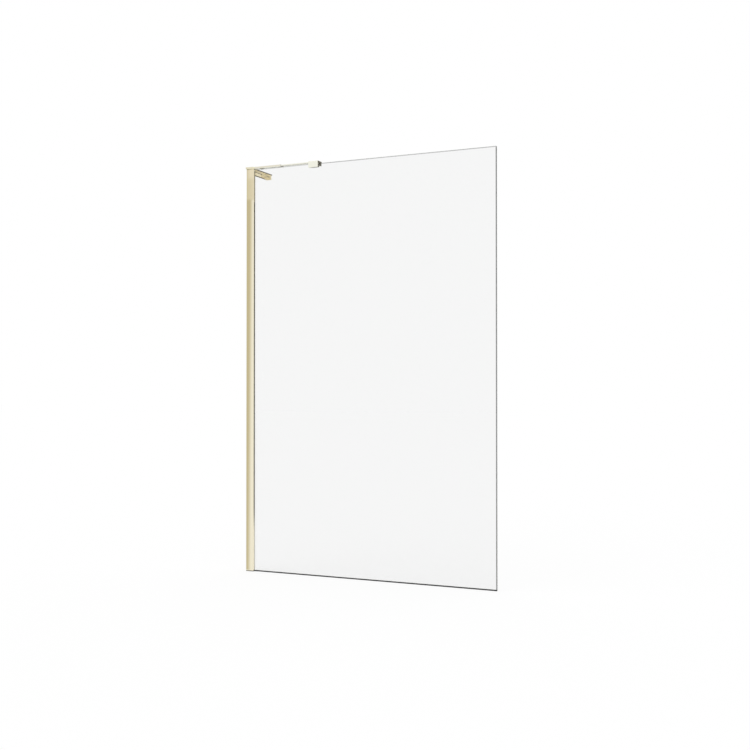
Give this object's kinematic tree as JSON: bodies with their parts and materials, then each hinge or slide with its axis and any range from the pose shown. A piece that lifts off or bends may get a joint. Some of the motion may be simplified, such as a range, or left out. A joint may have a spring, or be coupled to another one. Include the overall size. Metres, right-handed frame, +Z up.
{
  "type": "shower screen",
  "caption": "Fixed clear glass shower screen held by a full-height gold wall profile and an L-shaped stabilising bracket clamped to the top edge of the glass.",
  "frame": {"origin": "on the wall at floor level, in the middle plane of the glass", "axes": "+X from the wall along the glass, +Y away from the picture's viewer, +Z up"},
  "size_m": [1.3, 0.2, 2.0095],
  "materials": {
    "gold_profile": "polished pale gold, anodised",
    "gold_bracket": "polished pale gold plating",
    "gold_caps": "pale gold, glossy",
    "steel_screws": "plain stainless steel",
    "black_rubber": "matte black",
    "grey_gasket": "satin warm grey",
    "dark_plastic": "matte dark grey",
    "grey_seal": "matte dark grey",
    "plate_aluminium": "mill finish",
    "clear_glass": "clear, polished edges"
  },
  "bodies": {
    "wall_frame": {"wall_profile": "gold_profile", "profile_foot": "dark_plastic", "set_screws": "steel_screws", "screw_covers": "gold_caps", "bracket_corner": "gold_bracket", "corner_screws": "steel_screws", "joint_screws": "steel_screws", "arm_sleeve": "gold_bracket", "sleeve_bush": "gold_caps", "wall_angle": "gold_bracket", "end_plate": "gold_bracket"},
    "glass_unit": {"glass_channel": "gold_profile", "glass_panel": "clear_glass", "front_gasket": "grey_gasket", "rear_gasket": "grey_gasket", "edge_blocks": "dark_plastic", "bottom_seal": "grey_seal", "arm_bar": "gold_bracket", "bar_shoe": "dark_plastic", "clamp_body": "gold_bracket", "clamp_front_pad": "black_rubber", "clamp_rear_pad": "black_rubber", "pressure_plate": "plate_aluminium", "clamp_screws": "steel_screws", "clamp_plugs": "gold_caps", "bar_screw": "steel_screws"}
  },
  "joints": [
    {"name": "width_slide", "type": "slide", "parent": "wall_frame", "child": "glass_unit", "axis": [1, 0, 0], "range_m": [0, 0.015]}
  ]
}
